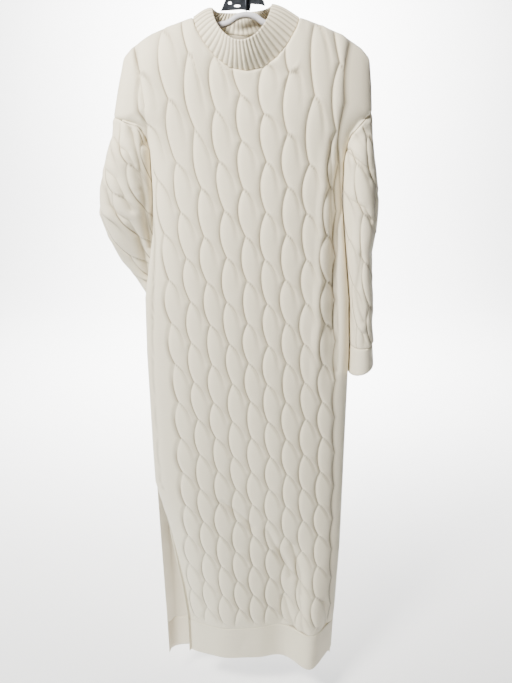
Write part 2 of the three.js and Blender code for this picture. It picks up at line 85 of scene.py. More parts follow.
COLLAR_BELLY = 4
COLLAR_BELLY_FORWARD = 0.8
MOUTH_MIDDLE = -7
MOUTH_HALF_WIDTH = 48
MOUTH_FRONT = 54
MOUTH_BACK = 44
MOUTH_LEVEL = -67
MOUTH_FRONT_DROP = 56
MOUTH_BACK_RISE = 2
MOUTH_RIGHT_RISE = 3
WIDEST_GROOVE = 0.965
MARGIN_HEIGHT = 0.22
HOOK_REACH = 23.0
HOOK_TURN = 17.0
LOW_HOOK_REACH = 11.0
LOW_HOOK_TURN = 12.0
LEFT_PUFF_WIDTH = 4.2
RIGHT_PUFF_WIDTH = 5.5
PUFF_POWER = 1.15
GROOVE_WIDTH = 1.25
CREASE_LINE_SHARE = 0.45
VALLEY_DEPTH = 0.8
VALLEY_WIDTH = 1.5
VALLEY_WIDENING = 0.085
LEAF_EDGE = 3
LEAF_SPREAD = 6
LEAF_DIP = 0.45
LEAF_LENGTH = 44
STRAND_RISE = 0.16
STRAND_RISE_PLACE = 6
STRAND_RISE_WIDTH = 5
PALEST_GROOVE = 0.45
DARK_GROOVE = 0.55
GROOVE_DARKENS = 18
GROOVE_DARKENS_OVER = 30
HOOK_LINE_SHADE = 0.95
HOOK_LINE_WIDTH = 1.2
HOOK_LINE_WIDENING = 0.05
SOFT_SHADE = 0.36
LOW_SOFT_SHADE = 0.12
SOFT_SHADE_PLACE = 2
SOFT_SHADE_WIDTH = 4
SOFT_SHADE_WIDENING = 0.09
PANEL_END_FADE = 34
SHOULDER_SEAM_FADE = 5
SLEEVE_TOP_FADE = 8
WRIST_FADE = 6
HOOK_FADE = 70.0
SLEEVE_GIRTH = 222.0
SLEEVE_CABLES = 6
SLEEVE_LEAN = (0.32, 0.1)
SLEEVE_RELIEF = 0.8
BAND_PUFF = 0.4
RIM_THICKNESS = 0.5
RIM_ROUNDING = 0.9
HOOK_INNER_RADIUS = 17.0
HOOK_WIRE_RADIUS = 2.4
SHOULDER_BAR_RADIUS = 5.0


# How finely each face is divided
PANEL_ROWS = 350
CELL_COLUMNS = 26
CELL_CROWDING = 0.11
MARGIN_COLUMNS = 12
BAND_ROWS = 41
BAND_COLUMNS = 161
COLLAR_ROWS = 45
RIB_COLUMNS = 8
SLEEVE_ROWS = 130
CUFF_ROWS = 21
CUFF_COLUMNS = 120


class Table:
    """Rows of named columns, read between rows by the first column."""

    def __init__(self, names, *rows):
        values = np.array(rows, float)
        if values[0, 0] > values[-1, 0]:
            values = values[::-1]
        self.key = values[:, 0]
        self.columns = {name: values[:, i] for i, name in enumerate(names.split())}

    def read(self, name, at):
        return np.interp(at, self.key, self.columns[name])


BODY_SECTIONS = Table(
    "level left right depth opening left_lift",
    (-140, 206, 206, 30, 0, 0),
    (-182, 219, 212, 32, 0, -4),
    (-224, 231, 216, 33, 0, -8),
    (-245, 210, 200, 34, 19, 3),
    (-266, 188, 183, 34, 17, 13),
    (-287, 177, 175, 34, 0, 20),
    (-308, 171, 171, 34, 0, 20),
    (-371, 171, 172, 35, 0, 10),
    (-434, 176, 179, 35, 0, 0),
    (-558, 199, 195, 36, 0, 0),
    (-674, 204, 203, 36, 0, 0),
    (-905, 207, 207, 37, 0, 0),
    (-1150, 208, 211, 37, 0, 0),
    (-1378, 208, 208, 37, 0, 0),
    (-1520, 209, 207, 37, 0, 0),
)
SLIT_TOP = -982.0
SLIT_EDGE = Table(
    "level across lift",
    (-982, 207, 0),
    (-1092, 184, 14),
    (-1177, 172, 20),
    (-1267, 160, 22),
    (-1361, 152, 22),
    (-1520, 152, 22),
)
SHOULDER_LINE = Table(
    "across level",
    (0, -66),
    (64, -76),
    (99, -85),
    (123, -93),
    (158, -106),
    (193, -127),
    (206, -140),
    (221, -189),
    (233, -237),
)
FRONT_NECKLINE = Table(
    "across level",
    (0, -164),
    (28, -159),
    (50, -144),
    (68, -124),
    (82, -100),
    (88, -82),
)
BACK_NECKLINE = Table("across level", (0, -104), (40, -101), (70, -92), (88, -82))
CABLE_LATTICE = Table(
    "level centre pitch last_groove",
    (-140, -12, 42, 172),
    (-224, -10, 41, 166),
    (-350, -5, 38, 159),
    (-492, -2, 36.7, 165),
    (-890, 7, 37, 184),
    (-1378, 11, 36.5, 196),
)
LEFT_SLEEVE = Table(
    "z x y across depth rise",
    (-252, -207, 0, 30, 24, 0),
    (-282, -210, 1, 36, 29, 0),
    (-300, -212, 2, 38, 31, 0),
    (-350, -219.5, 4, 45.5, 32, 0),
    (-399, -225, 10, 49, 29, 0),
    (-445, -220, 24, 43, 22, -4),
    (-485, -208, 39, 40, 17, -6),
    (-520, -190, 52, 38, 15, -6),
    (-560, -171, 60, 37, 15, -4),
    (-605, -158, 63, 36, 15, -2),
    (-650, -150, 65, 35, 15, 0),
    (-702, -144, 66, 36, 15, 0),
)
RIGHT_SLEEVE = Table(
    "z x y across depth rise",
    (-252, 201, 0, 20, 26, 0),
    (-285, 199.5, 3, 23, 38, 0),
    (-305, 200, 5, 26, 42, 0),
    (-324, 202.5, 8, 27.5, 46, 0),
    (-373, 207.5, 12, 31.5, 52, 0),
    (-435, 211, 14, 28, 55, 0),
    (-468, 210, 14, 23, 56, 0),
    (-506, 214.5, 14, 22.5, 56, 0),
    (-558, 221, 14, 22, 56, 0),
    (-610, 223, 13, 21, 55, 0),
    (-652, 228, 11, 22, 53, 3),
    (-707, 232, 10, 24, 50, 11),
)
HANGER_ARM = Table(
    "across level",
    (0, -78),
    (15, -81),
    (32, -90),
    (60, -94),
    (99, -97.5),
    (123, -106),
    (158, -121),
    (175, -133),
)


# Folds at the hem: how far forward, the middle across and the width
HEM_FOLDS = ((46, 150, 40), (-9, 70, 34), (7, -60, 40))

# Where a fold or a lean grows on the way down: its first level and the length of the growth
HEM_FOLDS_GROW = (-1080, 400)
ARM_FOLD_GROWS = (-240, 120)
ARM_FOLD_FADES = (-620, 200)
DRAPE_GROWS = (-700, 250)
BACK_WAVE_GROWS = (-900, 500)
LOW_HOOKS_GROW = (-600, 400)

ARM_FOLD_HEIGHT = 6
ARM_FOLD_START = 118
ARM_FOLD_PITCH = 9.5
ARM_FOLD_SPREAD = 20
DRAPE_HEIGHT = 3.6
DRAPE_LEAN = 0.45
DRAPE_CROSSING = -900
DRAPE_PITCH = 46
BACK_WAVE_HEIGHT = 8
BACK_WAVE_PITCH = 46
BACK_WAVE_SHIFT = 0.6
BACK_RIPPLE_HEIGHT = 3
BACK_RIPPLE_LEAN = 0.3
BACK_RIPPLE_PITCH = 58

# The photo's size and its camera, in pixels, metres and degrees
PHOTO_WIDTH = 512
PHOTO_HEIGHT = 683
CAMERA_PLACE = (0.016, -0.985, -0.293)
CAMERA_TILT = 20.0
CAMERA_LENS = 27.2
CAMERA_SENSOR = 36.0
FOCAL_PIXELS = round(CAMERA_LENS / CAMERA_SENSOR * PHOTO_HEIGHT)


def whole(value):
    """Whole millimetres, by way of tenths, as the creases were first placed."""
    return round(round(value, 1))


def seen_line(depth, *pixels):
    """Where these pixels of the photo lie, across and up, on the upright plane at this depth."""
    camera_across, camera_back, camera_level = (METRE * value for value in CAMERA_PLACE)
    away = depth - camera_back
    points = []
    for x, y in pixels:
        below = math.atan((y - PHOTO_HEIGHT / 2) / FOCAL_PIXELS)
        slope = math.radians(CAMERA_TILT) + below
        reach = away * math.cos(below) / math.cos(slope)
        across = camera_across + (x - PHOTO_WIDTH / 2) * reach / FOCAL_PIXELS
        level = camera_level - away * math.tan(slope)
        points.append((whole(across), whole(level)))
    return tuple(points)


# Creases seen on the front: depth, half width, shade, then the line's points. A line read off the
# photo is given by its pixels, and a listed point by its place across and up.
FRONT_CREASES = (
    (5.0, 5.0, 0.75, seen_line(-20, (137, 51), (138, 62), (139, 75), (143, 90), (146, 107))),
    (3.5, 5.0, 0.60, seen_line(-25, (145, 107), (150, 200), (155, 240), (152, 330))),
    (
        3.0,
        5.0,
        0.35,
        seen_line(-25, (152, 330)) + ((-195, -780),) + seen_line(-25, (160, 480), (163.5, 489)),
    ),
    (3.5, 4.5, 0.60, seen_line(-20, (338, 150), (340, 180), (341, 210), (337, 230), (338, 250))),
    (3.5, 4.5, 0.50, seen_line(-20, (338, 250), (336, 275), (337, 300), (338, 340), (337, 370))),
    (2.5, 4.0, 0.35, seen_line(-25, (330, 140), (331, 170), (330, 200), (331, 250), (333, 330))),
    (4.0, 8.0, 0.25, seen_line(-30, (222, 500), (240, 512), (252, 525))),
    (5.0, 9.0, 0.30, seen_line(-32, (268, 530), (275, 545), (285, 560), (291, 575))),
    (5.0, 9.0, 0.30, seen_line(-34, (292, 545), (300, 570), (301, 590))),
    (6.0, 9.0, 0.35, seen_line(-40, (285, 600), (292, 620), (297, 640), (300, 655))),
    (5.0, 7.0, 0.30, seen_line(-40, (297, 560), (301, 600), (303, 630), (301, 660))),
    (5.0, 6.0, 0.30, seen_line(-40, (322, 600), (325, 620), (327, 650))),
)
LEFT_SLEEVE_CREASES = (
    (5.0, 6.0, 0.45, seen_line(-20, (128, 112), (131, 130), (138, 160), (143, 200), (146, 250))),
    (5.0, 6.0, 0.50, seen_line(-25, (114, 138), (120, 147), (128, 152), (135, 168), (139, 190))),
    (5.0, 6.0, 0.50, seen_line(-25, (107, 170), (116, 178), (124, 195), (130, 210))),
    (7.0, 7.0, 0.60, seen_line(-20, (107, 190), (110, 205), (117, 213), (128, 220), (137, 240))),
    (6.0, 8.0, 0.50, seen_line(-20, (137, 240), (143, 280)) + ((-180, -590),)),
)
RIGHT_SLEEVE_CREASES = (
    (5.0, 5.0, 0.60, seen_line(-30, (344, 140), (350, 152), (360, 162), (368, 170), (370, 178))),
    (5.0, 5.0, 0.50, seen_line(-35, (353, 200), (365, 208), (370, 220))),
    (4.0, 6.0, 0.40, seen_line(-35, (360, 255), (359, 270), (357, 290), (360, 310), (363, 320))),
    (4.0, 6.0, 0.30, ((224, -620), (227, -660), (230, -700))),
)


def crease_field(x, z, creases):
    """Depth and painted shade of the creases at each point."""
    depth, shade = np.zeros_like(x), np.zeros_like(x)
    for deep, half_width, crease_shade, points in creases:
        near = np.full_like(x, 1e9)
        for (x0, z0), (x1, z1) in zip(points[:-1], points[1:]):
            over, up = x1 - x0, z1 - z0
            run = ((x - x0) * over + (z - z0) * up) / (over**2 + up**2)
            run = np.clip(run, 0, 1)
            near = np.minimum(near, np.hypot(x - x0 - run * over, z - z0 - run * up))
        depth = np.maximum(depth, deep * np.exp(-((near / half_width) ** 2)))
        shade = np.maximum(shade, crease_shade * np.exp(-((near / (CREASE_LINE_SHARE * half_width)) ** 2)))
    return depth, shade


def smooth(value):
    t = np.clip(value, 0, 1)
    return t * t * (3 - 2 * t)


def grown(z, stretch):
    """0 above a stretch of levels, growing to 1 at its end."""
    level, length = stretch
    return smooth((level - z) / length)


def bell(value, middle, width):
    return np.exp(-(((value - middle) / width) ** 2))


def section_curve():
    """Half of the flattened tube's section, by its run from the middle of the panel."""
    angle = np.linspace(0, math.pi / 2, 400)
    x = np.sin(angle) ** SECTION_POWER
    y = np.cos(angle) ** SECTION_POWER
    steps = np.hypot(np.diff(x) * SECTION_WIDTH, np.diff(y) * SECTION_DEPTH)
    run = np.concatenate([[0], np.cumsum(steps)])
    return run, x, y


SECTION_RUN, SECTION_X, SECTION_Y = section_curve()
HALF_GIRTH = SECTION_RUN[-1]


def side_width(share, level, front):
    left = BODY_SECTIONS.read("left", level)
    if front:
        left = np.where(level > SLIT_TOP, left, SLIT_EDGE.read("across", level))
    return np.where(share > 0, BODY_SECTIONS.read("right", level), left)


def front_folds(x, z, share):
    """Large folds of the front, as a move forward."""
    low = grown(z, HEM_FOLDS_GROW)
    hem = sum(forward * low * bell(x, middle, width) for forward, middle, width in HEM_FOLDS)
    chest = grown(z, ARM_FOLD_GROWS) * (1 - grown(z, ARM_FOLD_FADES))
    beside = x - ARM_FOLD_START
    ripple = np.sin(beside / ARM_FOLD_PITCH) * smooth(beside / ARM_FOLD_SPREAD)
    arm_fold = ARM_FOLD_HEIGHT * chest * ripple
    lean = (x + DRAPE_LEAN * (z - DRAPE_CROSSING)) / DRAPE_PITCH
    drape = DRAPE_HEIGHT * grown(z, DRAPE_GROWS) * np.sin(lean)
    return (hem + arm_fold + drape) * (1 - np.abs(share) ** 8)


def back_folds(x, z, share):
    wave = BACK_WAVE_HEIGHT * grown(z, BACK_WAVE_GROWS)
    wave = wave * np.sin(x / BACK_WAVE_PITCH + BACK_WAVE_SHIFT)
    ripple = BACK_RIPPLE_HEIGHT * np.sin((x - BACK_RIPPLE_LEAN * z) / BACK_RIPPLE_PITCH)
    return (wave + ripple) * (1 - np.abs(share) ** 8)


def body_form(share, level, front, wall):
    """A point of the body's plain form, the same as the solid's."""
    run = np.abs(share) * HALF_GIRTH
    across = np.sign(share) * np.interp(run, SECTION_RUN, SECTION_X)
    bow = np.interp(run, SECTION_RUN, SECTION_Y)
    x = side_width(share, level, front) * across
    fade = np.clip((level - SHOULDER_FADE_LEVEL) / (TOP_LEVEL - SHOULDER_FADE_LEVEL), 0, 1)
    away = np.abs(x)
    neckline = FRONT_NECKLINE if front else BACK_NECKLINE
    on_shoulder = SHOULDER_LINE.read("level", np.minimum(away, SHOULDER_END))
    edge = np.where(away < neckline.key[-1], neckline.read("level", away), on_shoulder)
    lift = BODY_SECTIONS.read("left_lift", level) * smooth((-x - LEFT_LIFT_START) / LEFT_LIFT_SPREAD)
    z = level + (edge - TOP_LEVEL) * fade + lift
    below = SHOULDER_LINE.read("level", away) - z
    filled = 1 - np.exp(-np.maximum(below, 0) / ROUNDING_UNDER_SHOULDER)
    depth = BODY_SECTIONS.read("depth", level)
    rest = depth * bow * filled
    rest = np.maximum(rest, BODY_SECTIONS.read("opening", level) * np.abs(share) ** 3)
    if front:
        slit = np.where((level < SLIT_TOP) & (share < 0), SLIT_EDGE.read("lift", level), 0)
        rest = np.maximum(rest, slit * np.abs(share) ** 4) + front_folds(x, z, share)
    else:
        rest = rest + back_folds(x, z, share)
    y = SEAM_GAP + wall * 0.5 + np.maximum(rest, 0)
    return np.stack([x, -y if front else y, z], axis=-1)


def armhole_point(side, turn, wall):
    """The body's own edge at the armhole, met by the sleeve."""
    share = (1 - np.cos(turn)) / 2
    level = ARMHOLE_TOP + (ARMHOLE_BOTTOM - ARMHOLE_TOP) * share
    edge = body_form(np.full_like(turn, side), level, True, wall)
    y = -np.abs(edge[..., 1]) * np.sign(np.sin(turn)) * (np.abs(np.sin(turn)) > 1e-6)
    x = edge[..., 0] + side * ARMHOLE_GAP * ARMHOLE_GAP_ACROSS
    return np.stack([x, y, edge[..., 2] - ARMHOLE_GAP], axis=-1)


def sleeve_form(table, turn, z, wall):
    side = float(np.sign(table.columns["x"][0]))
    away = np.cos(turn)
    bow = np.sign(np.sin(turn)) * np.abs(np.sin(turn)) ** SLEEVE_ROUNDNESS
    ring = np.stack(
        [
            table.read("x", z) + side * table.read("across", z) * away,
            table.read("y", z) - table.read("depth", z) * bow,
            z + table.read("rise", z) * away,
        ],
        axis=-1,
    )
    down = smooth((SLEEVE_TOP - z) / ARMHOLE_BLEND)[..., None]
    start = armhole_point(side, turn, wall)
    drop = SLEEVE_TOP - z
    tuck = ((1 - away) / 2) ** 2 * smooth(drop / (CABLE_REPEAT / 4))
    start[..., 0] -= side * UNDERARM_TUCK * tuck
    start[..., 2] -= drop
    return start * (1 - down) + ring * down


def neckline_point(x, front, wall):
    width = BODY_SECTIONS.read("left", TOP_LEVEL)
    run = np.interp(np.abs(x) / width, SECTION_X, SECTION_RUN)
    share = np.sign(x) * run / HALF_GIRTH
    point = body_form(share, np.full_like(x, TOP_LEVEL), front, wall)
    point[..., 2] += COLLAR_LIFT
    return point


def collar_form(turn, share, wall):
    ahead, across = np.cos(turn), np.sin(turn)
    front, back = np.maximum(ahead, 0), np.maximum(-ahead, 0)
    x = NECK_HALF_WIDTH * across
    is_front = (ahead >= 0)[..., None]
    base = np.where(is_front, neckline_point(x, True, wall), neckline_point(x, False, wall))
    top = np.stack(
        [
            MOUTH_MIDDLE + MOUTH_HALF_WIDTH * across,
            -MOUTH_FRONT * front**0.9 + MOUTH_BACK * back**0.9,
            MOUTH_LEVEL
            - MOUTH_FRONT_DROP * front**1.3
            + MOUTH_BACK_RISE * back
            + MOUTH_RIGHT_RISE * across,
        ],
        axis=-1,
    )
    point = base * (1 - share[..., None]) + top * share[..., None]
    belly = np.sin(math.pi * share) * COLLAR_BELLY
    point[..., 0] -= belly * across
    point[..., 1] -= belly * COLLAR_BELLY_FORWARD * front
    point[..., 2] += 2 * belly * (np.abs(across) - 0.4)
    return point


def groove_places(level, index, line):
    """Where each groove lies at each level, and how far it is below its last crossing."""
    start = FIRST_CROSSING - np.where(index % 2 == 0, CABLE_REPEAT / 2, 0)
    start = start + 2.5 * np.sin(index * 2.3 + level / 170)
    drop = np.mod(start - level, CABLE_REPEAT)
    bulge = CABLE_BULGE * np.sin(math.pi * drop / CABLE_REPEAT) ** 0.85
    return line - bulge, drop


def groove_dark(drop):
    """A groove line's shade, paler just below a crossing."""
    return PALEST_GROOVE + DARK_GROOVE * smooth((drop - GROOVE_DARKENS) / GROOVE_DARKENS_OVER)


def cable_cells(places, lines, drops, low=0.0):
    """Columns between neighbouring grooves, close together beside each groove.

    Gives the place across, the height from 0 to 1 and the painted shade of the grooves and hook
    lines.
    low runs to 1 where the strands are pulled further down to the right."""
    step = np.arange(CELL_COLUMNS) / CELL_COLUMNS
    step = step - CELL_CROWDING * np.sin(2 * math.pi * step)
    left, right = places[:, :-1, None], places[:, 1:, None]
    across = left + (right - left) * step
    drop = drops[:, :-1, None]
    from_left, from_right = across - left, right - across
    puff = 1 - np.exp(-((from_left / LEFT_PUFF_WIDTH) ** PUFF_POWER))
    puff *= 1 - np.exp(-((from_right / RIGHT_PUFF_WIDTH) ** PUFF_POWER))
    reach, bend = HOOK_REACH + LOW_HOOK_REACH * low, HOOK_TURN + LOW_HOOK_TURN * low
    hook = across - lines[:, :-1, None] - reach * (1 - np.exp(-drop / bend))
    fade = np.clip(1 - drop / HOOK_FADE, 0, 1)
    valley = VALLEY_DEPTH * fade * bell(hook, 0, VALLEY_WIDTH + VALLEY_WIDENING * drop)
    leaf = smooth((LEAF_EDGE - hook) / LEAF_SPREAD)
    under = 1 - LEAF_DIP * leaf * np.clip(1 - drop / LEAF_LENGTH, 0, 1)
    over = STRAND_RISE * fade * bell(hook, STRAND_RISE_PLACE, STRAND_RISE_WIDTH)
    height = puff * (under - valley + over)
    left_line = groove_dark(drop) * bell(from_left, 0, GROOVE_WIDTH)
    right_line = groove_dark(drops[:, 1:, None]) * bell(from_right, 0, GROOVE_WIDTH)
    shade = np.maximum(left_line, right_line)
    crease = fade**1.5 * bell(hook, 0, HOOK_LINE_WIDTH + HOOK_LINE_WIDENING * drop)
    shade = np.maximum(shade, crease * HOOK_LINE_SHADE)
    soft_width = SOFT_SHADE_WIDTH + SOFT_SHADE_WIDENING * drop
    soft = (SOFT_SHADE + LOW_SOFT_SHADE * low) * fade * bell(hook, SOFT_SHADE_PLACE, soft_width)
    rows = len(places)
    return (
        across.reshape(rows, -1),
        height.reshape(rows, -1),
        np.maximum(shade, soft).reshape(rows, -1),
    )


def share_at(x, level, front):
    """The share across at which the body's form reaches x."""
    width = side_width(np.sign(x), level, front)
    run = np.interp(np.minimum(np.abs(x) / width, WIDEST_GROOVE), SECTION_X, SECTION_RUN)
    return np.sign(x) * run / HALF_GIRTH


def panel_cloth(levels, front):
    """Shares across, cable heights and groove shades of a panel, row by row."""
    level = levels[:, None]
    index = np.arange(-CABLE_REACH, CABLE_REACH + 2)[None, :]
    wander = 1.6 * np.sin(level / 47 + index * 1.9) + 0.8 * np.sin(level / 19 + index * 4.1)
    lines = CABLE_LATTICE.read("centre", level) + index * CABLE_LATTICE.read("pitch", level)
    lines = lines + wander
    lines[:, -1:] = CABLE_LATTICE.read("last_groove", level) + 0.5 * wander[:, -1:]
    places, drops = groove_places(level, index, lines)
    places[:, -1] = (places[:, -1] + lines[:, -1]) / 2
    low = grown(level, LOW_HOOKS_GROW)[..., None]
    across, height, shade = cable_cells(places, lines, drops, low)
    shares = share_at(across, level, front)
    side = np.linspace(0, 1, MARGIN_COLUMNS + 1)
    left = -1 + (share_at(places[:, :1], level, front) + 1) * side[:-1]
    last = share_at(places[:, -1:], level, front)
    right = last + (1 - last) * side
    flat = MARGIN_HEIGHT * (1 - np.exp(-side * 6)) * np.ones_like(level)
    line = np.exp(-((side * MARGIN_COLUMNS) ** 2)) * np.ones_like(level)
    return (
        np.hstack([left, shares, right]),
        np.hstack([flat[:, :0:-1], height, flat]),
        np.hstack([line[:, :0:-1], shade, line]),
    )


def face_normals(points, closed):
    """Unit normals of a grid of points by its rows and columns."""
    if closed:
        along = np.roll(points, -1, axis=1) - np.roll(points, 1, axis=1)
    else:
        along = np.gradient(points, axis=1)
    down = np.gradient(points, axis=0)
    normal = np.cross(down, along)
    return normal / np.maximum(np.linalg.norm(normal, axis=-1, keepdims=True), 1e-9)


def edge_taper(points, closed):
    """1 inside a grid and falling to 0 at its free edges, for rolled rims."""
    rows, columns = points.shape[:2]
    down = np.linalg.norm(np.diff(points, axis=0), axis=-1).mean()
    row_run = np.minimum(np.arange(rows), np.arange(rows)[::-1]) * down
    taper = np.clip(row_run / RIM_ROUNDING, 0, 1)[:, None] * np.ones((1, columns))
    if not closed:
        steps = np.linalg.norm(np.diff(points, axis=1), axis=-1)
        run = np.hstack([np.zeros((rows, 1)), np.cumsum(steps, axis=1)])
        column_run = np.minimum(run, run[:, -1:] - run)
        taper = np.minimum(taper, np.clip(column_run / RIM_ROUNDING, 0, 1))
    return np.sqrt(1 - (1 - taper) ** 2)


def grid_faces(rows, columns, closed, first, flip):
    ids = np.arange(rows * columns).reshape(rows, columns) + first
    if closed:
        ids = np.concatenate([ids, ids[:, :1]], axis=1)
    a, b = ids[:-1, :-1].ravel(), ids[:-1, 1:].ravel()
    c, d = ids[1:, 1:].ravel(), ids[1:, :-1].ravel()
    quads = np.stack([a, d, c, b] if not flip else [a, b, c, d], axis=1)
    return ids, quads


def bridge(outer, inner, flip):
    """Triangles between two edge lines with different counts of points."""
    faces, i, j = [], 0, 0
    while i < len(outer) - 1 or j < len(inner) - 1:
        ahead = (i + 1) / (len(outer) - 1) <= (j + 1) / (len(inner) - 1)
        if j >= len(inner) - 1 or (i < len(outer) - 1 and ahead):
            face = (outer[i], outer[i + 1], inner[j])
            i += 1
        else:
            face = (outer[i], inner[j + 1], inner[j])
            j += 1
        faces.append(face[::-1] if flip else face)
    return faces


def cloth_shell(name, plain, height, shade, coarse, wall, facing, closed=False, inside=0.0):
    """A thin closed shell: a fine outer face with relief over a plain, coarser inner face.

    plain, height and shade are grids, coarse the inner face's steps, facing is 1 or -1.
    inside is the share of the relief that the inner face has too."""
    rows, columns = height.shape
    normal = face_normals(plain, closed) * facing
    taper = edge_taper(plain, closed)
    rise = RIM_THICKNESS + (wall / 2 - RIM_THICKNESS + height) * taper
    outer = plain + normal * rise[..., None]
    keep_rows = np.unique(np.append(np.arange(0, rows, coarse[0]), rows - 1))
    keep_columns = np.arange(0, columns, coarse[1])
    if not closed:
        keep_columns = np.unique(np.append(keep_columns, columns - 1))
    pick = np.ix_(keep_rows, keep_columns)
    inner_rise = RIM_THICKNESS + (wall / 2 - RIM_THICKNESS + inside * height[pick]) * taper[pick]
    inner = plain[pick] - normal[pick] * inner_rise[..., None]
    flip = facing > 0
    outer_ids, outer_faces = grid_faces(rows, columns, closed, 0, not flip)
    shape = (len(keep_rows), len(keep_columns))
    inner_ids, inner_faces = grid_faces(*shape, closed, rows * columns, flip)
    rims = bridge(outer_ids[0], inner_ids[0], not flip)
    rims += bridge(outer_ids[-1], inner_ids[-1], flip)
    if not closed:
        rims += bridge(outer_ids[:, 0], inner_ids[:, 0], flip)
        rims += bridge(outer_ids[:, -1], inner_ids[:, -1], not flip)
    points = np.concatenate([outer.reshape(-1, 3), inner.reshape(-1, 3)]) / METRE
    across = np.linalg.norm(np.diff(plain, axis=1, prepend=plain[:, :1]), axis=-1)
    down = np.linalg.norm(np.diff(plain, axis=0, prepend=plain[:1]), axis=-1)
    place = np.stack([np.cumsum(across, 1), np.cumsum(down, 0), shade], axis=-1)
    # Inner faces without relief get -1 in the shade channel, which marks them for painted light
    # shining through the cloth
    inner_place = place[pick] * (1, 1, inside) - (0, 0, 0 if inside else 1)
    places = np.concatenate([place.reshape(-1, 3), inner_place.reshape(-1, 3)])
    return make_mesh(name, points, [outer_faces, inner_faces], rims, places)


def make_mesh(name, points, quad_sets, triangles, places):
    quads = np.concatenate(quad_sets)
    triangles = np.array(triangles, int).reshape(-1, 3)
    corners = np.concatenate([quads.ravel(), triangles.ravel()])
    counts = np.concatenate([np.full(len(quads), 4), np.full(len(triangles), 3)])
    starts = np.concatenate([[0], np.cumsum(counts)[:-1]])
    mesh = bpy.data.meshes.new(name)
    mesh.vertices.add(len(points))
    mesh.vertices.foreach_set("co", points.ravel())
    mesh.loops.add(len(corners))
    mesh.loops.foreach_set("vertex_index", corners.astype(np.int32))
    mesh.polygons.add(len(counts))
    mesh.polygons.foreach_set("loop_start", starts.astype(np.int32))
    mesh.polygons.foreach_set("use_smooth", np.ones(len(counts), bool))
    mesh.update(calc_edges=True)
    if places is not None:
        attribute = mesh.attributes.new("cloth_place", "FLOAT_VECTOR", "POINT")
        attribute.data.foreach_set("vector", places.astype(np.float32).ravel())
    mesh.validate()
    piece = bpy.data.objects.new(name, mesh)
    bpy.context.collection.objects.link(piece)
    return piece


class Sock:
    """A shader socket whose arithmetic adds Math nodes."""

    def __init__(self, tree, link):
        self.tree = tree
        self.link = link

    def node(self, kind, settings=None, output=0, **values):
        made = self.tree.nodes.new(kind)
        for name, value in (settings or {}).items():
            setattr(made, name, value)
        for name, value in values.items():
            key = int(name[1:]) if name[0] == "_" else name.replace("_", " ")
            self.feed(made.inputs[key], value)
        return Sock(self.tree, made.outputs[output])

    def feed(self, socket, value):
        if isinstance(value, Sock):
            self.tree.links.new(value.link, socket)
        else:
            socket.default_value = value

    def math(self, operation, other=None, clamp=False):
        values = {"_0": self} if other is None else {"_0": self, "_1": other}
        settings = {"operation": operation, "use_clamp": clamp}
        return self.node("ShaderNodeMath", settings, **values)

    def __add__(self, other):
        return self.math("ADD", other)

    __radd__ = __add__

    def __mul__(self, other):
        return self.math("MULTIPLY", other)

    __rmul__ = __mul__

    def __sub__(self, other):
        return self.math("SUBTRACT", other)

    def __rsub__(self, other):
        return (self * -1) + other

    def __truediv__(self, other):
        return self.math("DIVIDE", other)

    def __pow__(self, other):
        return self.math("POWER", other)

    def __abs__(self):
        return self.math("ABSOLUTE")

    def fraction(self):
        return self.math("FRACT")

    def cosine(self):
        return self.math("COSINE")

    def mix(self, first, second):
        """This value as the factor between two colours."""
        settings = {"data_type": "RGBA"}
        made = self.tree.nodes.new("ShaderNodeMix")
        for name, value in settings.items():
            setattr(made, name, value)
        self.feed(made.inputs["Factor"], self)
        self.feed(made.inputs["A"], first)
        self.feed(made.inputs["B"], second)
        return Sock(self.tree, made.outputs["Result"])


def new_material(name):
    material = bpy.data.materials.new(name)
    material.use_nodes = True
    shader = material.node_tree.nodes["Principled BSDF"]
    return material, shader, Sock(material.node_tree, None)


def knit_material(name, colours, across_stitch, course):
    """Cream yarn: V stitches in bump, heather along the courses, and painted shade in grooves and
    creases.
    """
    material, shader, root = new_material(name)
    tree = material.node_tree
    place = root.node("ShaderNodeAttribute", {"attribute_name": "cloth_place"}, output=1)
    split = tree.nodes.new("ShaderNodeSeparateXYZ")
    tree.links.new(place.link, split.inputs[0])
    across, along, groove = (Sock(tree, split.outputs[i]) for i in range(3))
    wale = abs((across / across_stitch).fraction() - 0.5)
    stitch = ((along / course + wale * 1.1) * (2 * math.pi)).cosine() * 0.5 + 0.5
    column = (1 - (wale * 2) ** 3) * (1 - (1 - wale * 2) ** 6)
    coords = root.node("ShaderNodeCombineXYZ", _0=across * 0.02, _1=along * 0.35, _2=0.0)
    heather = coords.node("ShaderNodeTexNoise", Vector=coords, Scale=1.6, Detail=3.0)
    spots = root.node("ShaderNodeTexNoise", Vector=place, Scale=0.035, Detail=4.0)
    fuzz = root.node("ShaderNodeTexNoise", Vector=place, Scale=1.4, Detail=4.0, Roughness=0.7)
    yarn = heather.mix(colours.yarn_shade, colours.yarn)
    yarn = (spots * 0.5).mix(yarn, colours.warm_patch_and_backlight)
    # Painted light: inner faces, marked below 0 in the shade channel, take the warm tint of light
    # shining through the cloth
    yarn = (groove * -0.7).mix(yarn, colours.warm_patch_and_backlight)
    # Painted shade: the shade channel darkens the yarn along the grooves, hook lines and valleys of
    # the cables, in the creases and between the collar's ribs
    coloured = groove.mix(yarn, colours.groove)
    stitched = (stitch * column * 0.16).mix(coloured, colours.yarn_light)
    root.feed(shader.inputs["Base Color"], stitched)
    root.feed(shader.inputs["Roughness"], fuzz * 0.12 + 0.82)
    height = stitch * column * 0.6 + fuzz * 0.5
    bump = root.node("ShaderNodeBump", Strength=0.35, Distance=0.0006, Height=height)
    tree.links.new(bump.link, shader.inputs["Normal"])
    shader.inputs["Sheen Weight"].default_value = 0.25
    shader.inputs["Sheen Roughness"].default_value = 0.5
    shader.inputs["Specular IOR Level"].default_value = 0.2
    return material


